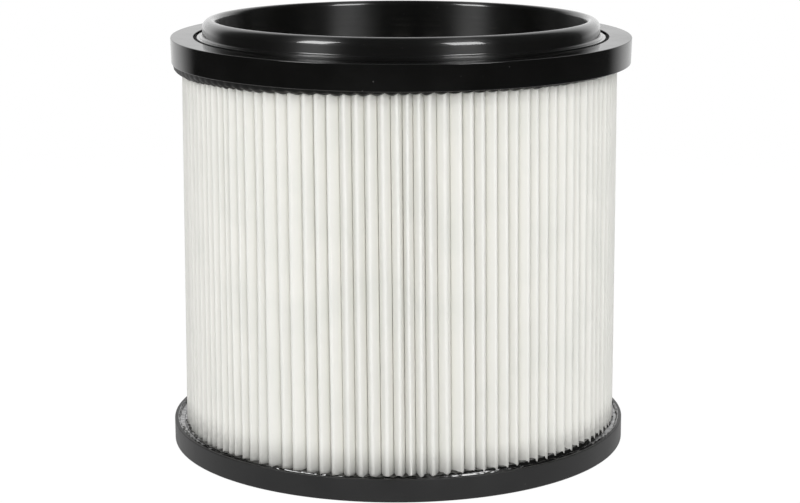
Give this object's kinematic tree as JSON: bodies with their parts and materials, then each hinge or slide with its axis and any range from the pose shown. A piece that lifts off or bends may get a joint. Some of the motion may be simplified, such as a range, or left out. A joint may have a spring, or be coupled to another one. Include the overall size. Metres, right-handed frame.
{
  "type": "pleated cartridge filter",
  "caption": "Cylindrical pleated fleece cartridge filter with an open black collar and flange at the top and a shallow closed cap at the bottom.",
  "frame": {"origin": "centre of the bottom cap's underside, on the filter's axis", "axes": "+Z along the axis, up out of the open collar"},
  "size_m": [0.1876, 0.1876, 0.1749],
  "materials": {
    "collar": "glossy moulded",
    "flange": "satin moulded",
    "potting": "glossy cast compound",
    "fleece": "matte folded fleece",
    "core": "satin moulded",
    "cap": "satin moulded"
  },
  "bodies": {
    "root": {"top_collar": "collar", "flange_ring": "flange", "top_potting": "potting", "pleated_media": "fleece", "inner_core": "core", "bottom_potting": "potting", "bottom_cap": "cap"}
  },
  "joints": []
}
